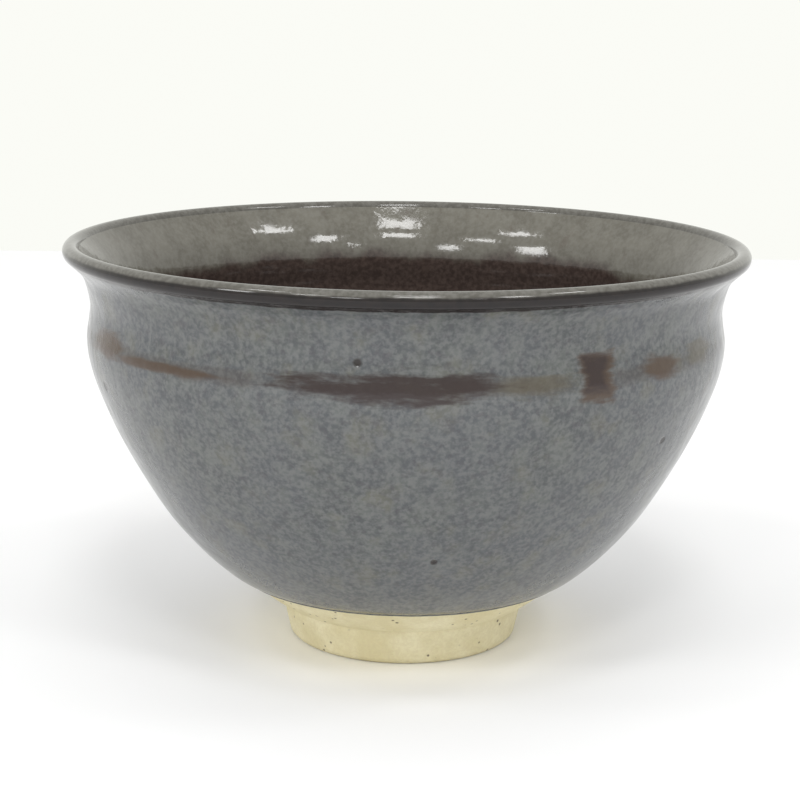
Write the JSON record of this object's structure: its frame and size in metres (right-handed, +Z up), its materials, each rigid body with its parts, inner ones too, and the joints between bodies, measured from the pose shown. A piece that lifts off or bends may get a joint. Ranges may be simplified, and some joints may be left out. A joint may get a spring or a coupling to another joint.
{
  "type": "tea bowl",
  "caption": "Round stoneware tea bowl with a flared, rounded lip over a pinched neck and full shoulder, tapering to a small bare clay foot ring, dark iron glaze inside and out.",
  "frame": {"origin": "centre of the foot ring's resting face", "axes": "+Z up through the mouth; the bowl is round about Z"},
  "size_m": [0.12, 0.12, 0.072],
  "materials": {
    "bare_clay": "matte unglazed stoneware",
    "slate_glaze": "glossy mottled slate iron glaze with rust patches",
    "iron_glaze": "glossy thin dark iron glaze",
    "umber_glaze": "glossy brown iron glaze"
  },
  "bodies": {
    "root": {"clay_body": "bare_clay", "foot_ring": "bare_clay", "outer_glaze": "slate_glaze", "lip_glaze": "iron_glaze", "inner_glaze": "umber_glaze"}
  },
  "joints": []
}
